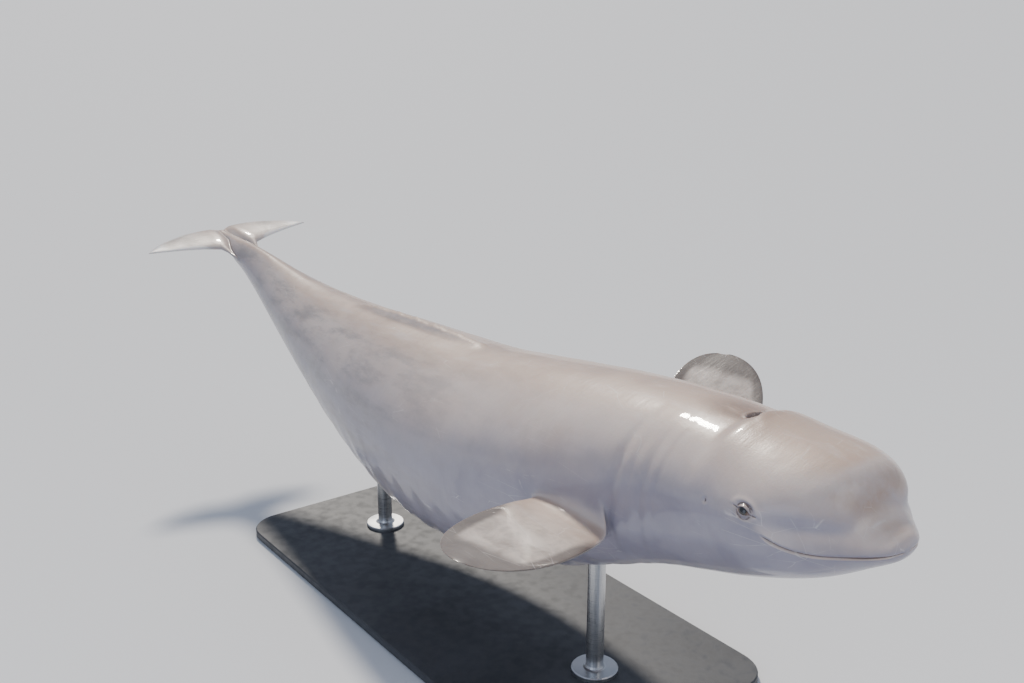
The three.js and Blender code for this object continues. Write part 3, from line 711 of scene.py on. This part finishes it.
# %% Pushing the small forms into the skin


def ear_push(co, side):
    reach = (co - EARS[side][0]).length / MM
    dent = -4.5 * bump(reach, 2.6) - 1.8 * bump(reach, 9) + 0.8 * bump(reach - 11, 4)
    return EARS[side][3] * dent * MM


fins = skin.data.attributes["fin"].data
moved = []
for v in skin.data.vertices:
    fin = fins[v.index].value
    back, across, height = (SNOUT_X - v.co.x) / MM, v.co.y / MM, (v.co.z - LEVEL_LINE) / MM
    side = 1 if across > 0 else -1
    push = Vector()
    if fin < 0.3 and back > 20:
        fade = (1 - fin / 0.3) * blend(back, 20, 400) * (1 - blend(back, 3300, FLUKE_START))
        push += v.normal * blubber(v.co, back, height) * fade * MM
    if abs(back - EYE_BACK) < 75 and abs(height - EYE_HEIGHT) < 75:
        push += lid_push(v.co, side)
    if abs(back - EAR_BACK) < 25 and abs(height - EAR_HEIGHT) < 25:
        push += ear_push(v.co, side)
    if abs(back - HOLE_BACK) < 90 and abs(across) < 90 and height > 40:
        push += Vector((0, 0, blowhole_push(back, across) * MM))
    if fin == 0 and height > -60 and abs(across) < 90:
        push += Vector((0, 0, ridge_rise(back) * bump(across, 21) * MM))
    moved.append(v.co + push)
for v, co in zip(skin.data.vertices, moved):
    v.co = co
skin.data.update()
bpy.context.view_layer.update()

# %% [markdown]
# The skin is shaded smooth. Then it is given its own measure of shade: how much each point is
# shut in by the forms round it, so that creases get painted shade, a dark brown laid into the
# colour where the hollow would lie in shadow. It is worked out from how the surface bends at
# each point, and kept on the points as an attribute that the material reads.

# %% Smooth shading and a mark for painted shade in creases
CREASE_FROM, CREASE_OVER = 12, 90

bpy.ops.object.select_all(action="DESELECT")
skin.select_set(True)
bpy.context.view_layer.objects.active = skin
bpy.ops.object.shade_smooth()
# A mark for painted shade: how far the skin bends inward at each point.
crease_shade = skin.data.attributes.new("crease_shade", "FLOAT", "POINT")
hollow = [0.0] * len(skin.data.vertices)
count = [0] * len(skin.data.vertices)
for edge in skin.data.edges:
    a, b = (skin.data.vertices[i] for i in edge.vertices)
    line = b.co - a.co
    if line.length > 0:
        bend = (b.normal - a.normal).dot(line) / line.length ** 2
        for v in (a, b):
            hollow[v.index] -= bend
            count[v.index] += 1
for i, (h, c) in enumerate(zip(hollow, count)):
    crease_shade.data[i].value = min(1, max(0, (h / max(1, c) - CREASE_FROM) / CREASE_OVER))
print("points in creases", sum(h / max(1, c) > 30 for h, c in zip(hollow, count)))

# %% [markdown]
# A wet whale's skin is smooth and firm, like a peeled egg. Seen close it has fine wrinkles that
# run round the body, and pale scars and scuffs. Two effects are used by more than one finish,
# so each is a node group with named inputs: a mottle, which mixes two colours in soft patches,
# and the wrinkles, which give a height for the bump.

# %% Helpers for nodes, and the mottle and wrinkle groups


def new_group(name, sockets):
    group = bpy.data.node_groups.new(name, "ShaderNodeTree")
    for label, way, kind, value in sockets:
        socket = group.interface.new_socket(name=label, in_out=way, socket_type=kind)
        if way == "INPUT":
            socket.default_value = value
    return group, group.nodes.new("NodeGroupInput"), group.nodes.new("NodeGroupOutput")


def node(tree, kind, inputs=None, **settings):
    made = tree.nodes.new("ShaderNode" + kind)
    for key, value in settings.items():
        setattr(made, key, value)
    for key, value in (inputs or {}).items():
        if isinstance(value, bpy.types.NodeSocket):
            tree.links.new(value, made.inputs[key])
        else:
            made.inputs[key].default_value = value
    return made


def mix_color(tree, factor, a, b, how="MIX"):
    made = node(tree, "Mix", data_type="RGBA", blend_type=how)
    for socket, value in ((made.inputs[0], factor), (made.inputs[6], a), (made.inputs[7], b)):
        if isinstance(value, bpy.types.NodeSocket):
            tree.links.new(value, socket)
        else:
            socket.default_value = value
    return made.outputs[2]


def calc(tree, how, a, b=0.0, clamp=False):
    return node(tree, "Math", {0: a, 1: b}, operation=how, use_clamp=clamp).outputs[0]


def ramp(tree, value, low, high, to_low=0.0, to_high=1.0):
    return node(tree, "MapRange", {0: value, 1: low, 2: high, 3: to_low, 4: to_high},
                interpolation_type="SMOOTHSTEP").outputs[0]


mottle, enter, leave = new_group("soft_mottle", [
    ("Place", "INPUT", "NodeSocketVector", (0, 0, 0)), ("Pale", "INPUT", "NodeSocketColor", (1, 1, 1, 1)),
    ("Dark", "INPUT", "NodeSocketColor", (0, 0, 0, 1)), ("Scale", "INPUT", "NodeSocketFloat", 6.0),
    ("Amount", "INPUT", "NodeSocketFloat", 0.5), ("Color", "OUTPUT", "NodeSocketColor", None)])
cloud = node(mottle, "TexNoise", {"Vector": enter.outputs["Place"], "Scale": enter.outputs["Scale"],
                                  "Detail": 6.0, "Roughness": 0.62, "Distortion": 0.4})
patch = ramp(mottle, cloud.outputs[0], 0.38, 0.7)
share = calc(mottle, "MULTIPLY", patch, enter.outputs["Amount"])
mottle.links.new(mix_color(mottle, share, enter.outputs["Pale"], enter.outputs["Dark"]), leave.inputs[0])

wrinkles, enter, leave = new_group("wet_wrinkles", [
    ("Place", "INPUT", "NodeSocketVector", (0, 0, 0)), ("Fineness", "INPUT", "NodeSocketFloat", 60.0),
    ("Height", "OUTPUT", "NodeSocketFloat", None)])
stretched = node(wrinkles, "Mapping", {"Vector": enter.outputs["Place"], "Scale": (1.0, 0.22, 0.22)})
fine = node(wrinkles, "TexNoise", {"Vector": stretched.outputs[0], "Scale": enter.outputs["Fineness"],
                                   "Detail": 5.0, "Roughness": 0.6})
pores = node(wrinkles, "TexNoise", {"Vector": enter.outputs["Place"], "Scale": 210.0, "Detail": 2.0})
soft = node(wrinkles, "TexNoise", {"Vector": enter.outputs["Place"], "Scale": 13.0, "Detail": 3.0})
height = calc(wrinkles, "ADD", calc(wrinkles, "MULTIPLY", fine.outputs[0], 0.55),
              calc(wrinkles, "MULTIPLY", pores.outputs[0], 0.16))
height = calc(wrinkles, "ADD", height, calc(wrinkles, "MULTIPLY", soft.outputs[0], 0.7))
wrinkles.links.new(height, leave.inputs[0])
print("groups", mottle.name, wrinkles.name)

# %% [markdown]
# The skin's colour in the photo is a warm, pinkish ivory on the lit back, a cooler lavender
# grey low on the flanks, tan along the crown, brown-grey round the blowhole, and tan smudges on
# the front of the melon. The lavender grey is partly the skin's own greyer tone and partly
# painted shade, since it follows how far each face turns down. The blowhole's slit gets a
# near-black spot of painted shade. Each mark is a mask made from the place on the model, so it
# lies the same from every side.

# %% The skin's colours and painted shade on head and body


def new_material(name):
    material = bpy.data.materials.new(name)
    material.use_nodes = True
    tree = material.node_tree
    shader = tree.nodes["Principled BSDF"]
    return material, tree, shader


def spot(tree, point, centre, size, low, high):
    # 1 within the oval of these half sizes round a centre, fading to 0 outside it
    shifted = node(tree, "VectorMath", {0: point, 1: centre}, operation="SUBTRACT").outputs[0]
    scaled = node(tree, "VectorMath", {0: shifted, 1: size}, operation="DIVIDE").outputs[0]
    away = node(tree, "VectorMath", {0: scaled}, operation="LENGTH").outputs["Value"]
    return ramp(tree, away, low, high, 1.0, 0.0)


skin_finish, tree, shader = new_material("wet_ivory_skin")
where = node(tree, "TexCoord").outputs["Object"]
axes = node(tree, "SeparateXYZ", {0: where})
rough_edge = node(tree, "TexNoise", {"Vector": where, "Scale": 5.5, "Detail": 5.0,
                                     "Roughness": 0.6}).outputs[0]
wander = calc(tree, "MULTIPLY", calc(tree, "SUBTRACT", rough_edge, 0.5), 0.5)
streak_place = node(tree, "Mapping", {"Vector": where, "Scale": (1.2, 4.0, 4.0)}).outputs[0]
streaks = node(tree, "TexNoise", {"Vector": streak_place, "Scale": 4.0, "Detail": 7.0,
                                  "Roughness": 0.66}).outputs[0]

ivory = node(tree, "Group", {"Place": where, "Pale": (0.76, 0.635, 0.56, 1), "Dark": (0.62, 0.48, 0.40, 1),
                             "Scale": 4.2, "Amount": 0.65}, node_tree=mottle).outputs[0]
# Down-turned faces get a cooler lavender grey: partly the skin's own greyer tone, partly painted shade of
# the underside.
flank_tone_and_shade = node(tree, "Group", {"Place": where, "Pale": (0.33, 0.31, 0.37, 1), "Dark": (0.21, 0.20, 0.26, 1),
                             "Scale": 5.0, "Amount": 0.6}, node_tree=mottle).outputs[0]
facing = node(tree, "SeparateXYZ", {0: node(tree, "NewGeometry").outputs["Normal"]}).outputs[2]
turned_down_shade_share = ramp(tree, calc(tree, "ADD", facing, calc(tree, "MULTIPLY", wander, 0.8)), 0.80, 0.0)
color = mix_color(tree, turned_down_shade_share, ivory, flank_tone_and_shade)

# The back half of the animal is greyer, with long soft streaks.
rear = ramp(tree, axes.outputs[0], 0.75, -0.6)
grey_streak = calc(tree, "MULTIPLY", rear, ramp(tree, streaks, 0.42, 0.66), True)
color = mix_color(tree, calc(tree, "MULTIPLY", rear, 0.35), color, (0.36, 0.33, 0.34, 1))
color = mix_color(tree, calc(tree, "MULTIPLY", grey_streak, 0.65), color, (0.26, 0.235, 0.23, 1))

# Tan along the crown and on the front of the melon
crown = calc(tree, "MULTIPLY", ramp(tree, facing, 0.80, 0.98), ramp(tree, streaks, 0.2, 0.5))
color = mix_color(tree, calc(tree, "MULTIPLY", crown, 0.7), color, (0.56, 0.37, 0.25, 1))
melon_spot = spot(tree, where, (1.575, 0.0, 0.985), (0.10, 0.20, 0.075), 0.35, 1.05)
melon_tan = calc(tree, "MULTIPLY", melon_spot, ramp(tree, rough_edge, 0.36, 0.62))
color = mix_color(tree, calc(tree, "MULTIPLY", melon_tan, 0.8), color, (0.40, 0.265, 0.18, 1))

# Brown-grey round and behind the blowhole
hole_spot = spot(tree, where, (1.195, 0.0, 1.075), (0.15, 0.12, 0.09), 0.2, 1.0)
hole_brown = calc(tree, "MULTIPLY", hole_spot, ramp(tree, streaks, 0.34, 0.58))
color = mix_color(tree, calc(tree, "MULTIPLY", hole_brown, 0.8), color, (0.29, 0.185, 0.13, 1))
# A near-black spot in the blowhole's slit is painted shade, the dark of the hollow.
blowhole_painted_shade = spot(tree, where, (1.246, 0.0, 1.06), (0.030, 0.050, 0.030), 0.4, 1.0)
color = mix_color(tree, calc(tree, "MULTIPLY", blowhole_painted_shade, 0.93), color, (0.045, 0.03, 0.026, 1))

print("nodes for head and body", len(tree.nodes))

# %% [markdown]
# The flippers are mottled with grey-brown and have dark outer rims, partly their own darker
# edge and partly painted shade under the curled-up edge, and the rear edge of the flukes is
# nearly white. These follow the marks that the fins were given as they grew. Creases get
# painted shade in dark brown, the lids are darker, and thin pale scratches cross the skin.

# %% The skin's colours on fins and lids, and painted shade in flipper rims and creases
fin_mark = node(tree, "Attribute", attribute_name="fin").outputs["Fac"]
rim_mark = node(tree, "Attribute", attribute_name="rim").outputs["Fac"]
fin_color = node(tree, "Group", {"Place": where, "Pale": (0.68, 0.60, 0.53, 1),
                                 "Dark": (0.24, 0.20, 0.17, 1), "Scale": 13.0,
                                 "Amount": 0.8}, node_tree=mottle).outputs[0]
color = mix_color(tree, ramp(tree, fin_mark, 0.2, 0.95, 0.0, 0.85), color, fin_color)
# Dark flipper rims: partly the flipper's own darker edge, partly painted shade under the curled-up edge.
in_front = ramp(tree, axes.outputs[0], -1.0, -0.6)
rim_noise = calc(tree, "ADD", rim_mark, calc(tree, "MULTIPLY", wander, 0.9))
dark_rim_and_shade = calc(tree, "MULTIPLY", ramp(tree, rim_noise, 0.12, 0.6), in_front)
color = mix_color(tree, calc(tree, "MULTIPLY", dark_rim_and_shade, 0.85), color, (0.085, 0.065, 0.055, 1))
pale_rim = calc(tree, "MULTIPLY", ramp(tree, rim_noise, 0.15, 0.6), ramp(tree, axes.outputs[0], -1.6, -2.0))
color = mix_color(tree, calc(tree, "MULTIPLY", pale_rim, 0.8), color, (0.86, 0.84, 0.82, 1))

# Creases get painted shade: a dark brown where the skin bends inward.
crease_shade_mark = node(tree, "Attribute", attribute_name="crease_shade").outputs["Fac"]
color = mix_color(tree, ramp(tree, crease_shade_mark, 0.1, 0.8, 0.0, 0.8), color, (0.12, 0.075, 0.06, 1))
for side in (1, -1):
    lids = spot(tree, where, tuple(EYES[side][0]), (0.036, 0.04, 0.026), 0.35, 1.0)
    color = mix_color(tree, calc(tree, "MULTIPLY", lids, 0.5), color, (0.17, 0.145, 0.16, 1))
scar_place = node(tree, "Mapping", {"Vector": where, "Rotation": (0.3, 0.5, 0.9),
                                    "Scale": (1.0, 7.0, 7.0)}).outputs[0]
scars = node(tree, "TexVoronoi", {"Vector": scar_place, "Scale": 3.4, "Randomness": 1.0},
             feature="DISTANCE_TO_EDGE").outputs[0]
scar_line = calc(tree, "MULTIPLY", ramp(tree, scars, 0.012, 0.0), ramp(tree, rough_edge, 0.52, 0.6))
color = mix_color(tree, calc(tree, "MULTIPLY", scar_line, 0.35), color, (0.88, 0.84, 0.80, 1))

print("nodes with the marks", len(tree.nodes))

# %% [markdown]
# The surface is wet: a thin, sharp coat over a softer skin that lets a little light in, with
# wrinkles and pores as a bump. The skin then takes the place of every solid of flesh.

# %% The wet surface, and the skin in the solids' place
tree.links.new(color, shader.inputs["Base Color"])
wet = ramp(tree, rough_edge, 0.3, 0.7, 0.33, 0.5)
tree.links.new(wet, shader.inputs["Roughness"])
shader.inputs["Coat Weight"].default_value = 0.5
shader.inputs["Coat Roughness"].default_value = 0.06
shader.inputs["Subsurface Weight"].default_value = 0.12
shader.inputs["Subsurface Radius"].default_value = (0.02, 0.009, 0.005)
shader.inputs["Subsurface Scale"].default_value = 0.5
relief = node(tree, "Group", {"Place": where, "Fineness": 62.0}, node_tree=wrinkles).outputs[0]
dent = node(tree, "Bump", {"Height": relief, "Strength": 0.5, "Distance": 0.0035})
tree.links.new(dent.outputs[0], shader.inputs["Normal"])
skin.data.materials.clear()
skin.data.materials.append(skin_finish)
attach(skin, "root")
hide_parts("melon", "head", "lower_jaw", "neck", "chest", "trunk", "loin", "tail_stock",
            "dorsal_ridge", "flipper_left", "flipper_right", "fluke_left", "fluke_right")
print("skin material nodes", len(tree.nodes))

# %% [markdown]
# The eyes are small, dark and very wet. Each is a ball a little finer than the solid's, with a
# slightly raised clear front over a dark brown iris and a wide horseshoe pupil that shows as
# black. The ball is turned so that its pole, and the iris round it, looks straight out of the
# lids. A thin brown-pink rim shows where the lids touch it.

# %% The eyes
eye_finish, tree, shader = new_material("wet_dark_eye")
iris_mark = node(tree, "Attribute", attribute_name="iris").outputs["Fac"]
where = node(tree, "TexCoord").outputs["Object"]
fibres = node(tree, "TexNoise", {"Vector": where, "Scale": 420.0, "Detail": 4.0}).outputs[0]
iris = mix_color(tree, ramp(tree, fibres, 0.35, 0.65), (0.045, 0.022, 0.012, 1), (0.11, 0.058, 0.03, 1))
eye_color = mix_color(tree, ramp(tree, iris_mark, 0.55, 0.62), (0.16, 0.10, 0.085, 1), iris)
eye_color = mix_color(tree, ramp(tree, iris_mark, 0.80, 0.84), eye_color, (0.004, 0.003, 0.003, 1))
tree.links.new(eye_color, shader.inputs["Base Color"])
shader.inputs["Roughness"].default_value = 0.16
shader.inputs["Coat Weight"].default_value = 1.0
shader.inputs["Coat Roughness"].default_value = 0.02

for side, name in ((1, "left"), (-1, "right")):
    point, along, up, out = EYES[side]
    centre = point - out * EYE_SINK * MM
    bpy.ops.object.select_all(action="DESELECT")
    bpy.ops.mesh.primitive_uv_sphere_add(segments=48, ring_count=32, radius=EYE_RADIUS * MM, location=centre,
                                         rotation=out.to_track_quat("Z", "Y").to_euler())
    eye = bpy.context.object
    eye.name = "eyeball_" + name
    bpy.ops.object.transform_apply(location=True, rotation=True, scale=True)
    mark = eye.data.attributes.new("iris", "FLOAT", "POINT")
    for v in eye.data.vertices:
        ahead = (v.co - centre).normalized().dot(out)
        mark.data[v.index].value = blend(ahead, 0.55, 1.0)
        v.co += out * 0.9 * MM * blend(ahead, 0.8, 0.95)
    bpy.ops.object.shade_smooth()
    eye.data.materials.append(eye_finish)
    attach(eye, "root")
    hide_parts("eye_" + name)
    print(eye.name, [round(c, 3) for c in centre])

# %% [markdown]
# The stand's solids already have their true shape, so they stay and only get better finishes:
# charcoal paint with a fine orange-peel for the base, and brushed steel with rings of fine
# turning marks for the rods. The floor is plain, pale and matt.

# %% The stand and the floor
paint, tree, shader = new_material("charcoal_paint")
where = node(tree, "TexCoord").outputs["Object"]
tone = node(tree, "Group", {"Place": where, "Pale": (0.052, 0.055, 0.06, 1), "Dark": (0.03, 0.032, 0.036, 1),
                            "Scale": 3.0, "Amount": 0.8}, node_tree=mottle).outputs[0]
tree.links.new(tone, shader.inputs["Base Color"])
dust = node(tree, "TexNoise", {"Vector": where, "Scale": 26.0, "Detail": 6.0}).outputs[0]
tree.links.new(ramp(tree, dust, 0.3, 0.7, 0.38, 0.58), shader.inputs["Roughness"])
peel = node(tree, "TexNoise", {"Vector": where, "Scale": 420.0, "Detail": 2.0}).outputs[0]
tree.links.new(node(tree, "Bump", {"Height": peel, "Strength": 0.25, "Distance": 0.0006}).outputs[0],
               shader.inputs["Normal"])

steel, tree, shader = new_material("brushed_steel")
where = node(tree, "TexCoord").outputs["Object"]
rings_place = node(tree, "Mapping", {"Vector": where, "Scale": (6.0, 6.0, 900.0)}).outputs[0]
turning = node(tree, "TexNoise", {"Vector": rings_place, "Scale": 1.0, "Detail": 3.0}).outputs[0]
brushed = mix_color(tree, ramp(tree, turning, 0.35, 0.65), (0.50, 0.51, 0.52, 1), (0.66, 0.66, 0.66, 1))
tree.links.new(brushed, shader.inputs["Base Color"])
tree.links.new(ramp(tree, turning, 0.3, 0.7, 0.26, 0.4), shader.inputs["Roughness"])
shader.inputs["Metallic"].default_value = 1.0
tree.links.new(node(tree, "Bump", {"Height": turning, "Strength": 0.2, "Distance": 0.0004}).outputs[0],
               shader.inputs["Normal"])

for name, finish in (("stand_base", paint), ("stand_rod_front", steel), ("stand_rod_rear", steel)):
    for piece_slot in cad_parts[name].material_slots:
        piece_slot.material = finish

floor_finish, tree, shader = new_material("pale_floor")
shader.inputs["Base Color"].default_value = (0.78, 0.79, 0.80, 1)
shader.inputs["Roughness"].default_value = 0.85
floor.data.materials.append(floor_finish)
print("finished", len(bpy.data.materials), "materials")
